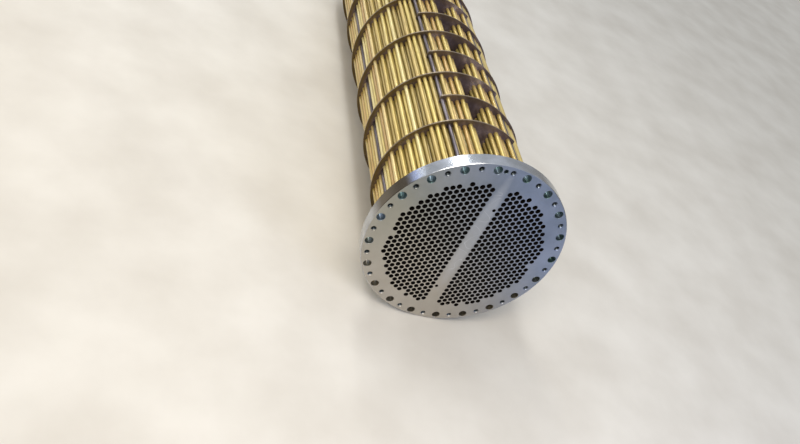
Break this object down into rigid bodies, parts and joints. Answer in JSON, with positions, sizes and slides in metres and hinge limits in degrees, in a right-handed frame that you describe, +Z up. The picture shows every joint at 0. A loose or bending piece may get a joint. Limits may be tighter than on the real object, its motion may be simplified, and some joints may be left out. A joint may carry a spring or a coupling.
{
  "type": "u-tube bundle of a shell and tube heat exchanger",
  "caption": "Removable U-tube bundle of a shell and tube heat exchanger: a drilled round tube sheet carries brass U-tubes, segmental baffles, tie rods and spacer tubes.",
  "frame": {"origin": "centre of the tube sheet's channel face, the face with the tube mouths", "axes": "+Y along the tubes towards the bends, -Y out of the channel face, +Z up along the pass lane"},
  "size_m": [0.7559, 2.6252, 0.756],
  "materials": {
    "tube_sheet_steel": "turned face and bright rim",
    "baffle_steel": "dark mill scale with rubbed edges",
    "tube_brass": "drawn, dull yellow with stains",
    "rod_steel": "dull drawn steel"
  },
  "bodies": {
    "root": {"tube_sheet": "tube_sheet_steel", "baffle_01": "baffle_steel", "baffle_02": "baffle_steel", "baffle_03": "baffle_steel", "baffle_04": "baffle_steel", "baffle_05": "baffle_steel", "baffle_06": "baffle_steel", "baffle_07": "baffle_steel", "baffle_08": "baffle_steel", "baffle_09": "baffle_steel", "baffle_10": "baffle_steel", "baffle_11": "baffle_steel", "baffle_12": "baffle_steel", "baffle_13": "baffle_steel", "u_tubes_bend_01": "tube_brass", "u_tubes_bend_02": "tube_brass", "u_tubes_bend_03": "tube_brass", "u_tubes_bend_04": "tube_brass", "u_tubes_bend_05": "tube_brass", "u_tubes_bend_06": "tube_brass", "u_tubes_bend_07": "tube_brass", "u_tubes_bend_08": "tube_brass", "u_tubes_bend_09": "tube_brass", "u_tubes_bend_10": "tube_brass", "u_tubes_bend_11": "tube_brass", "u_tubes_bend_12": "tube_brass", "u_tubes_bend_13": "tube_brass", "u_tubes_bend_14": "tube_brass", "tie_rods": "rod_steel", "spacers_beside_lane": "rod_steel", "spacers_at_sides": "rod_steel", "tie_rod_nuts": "rod_steel"}
  },
  "joints": []
}
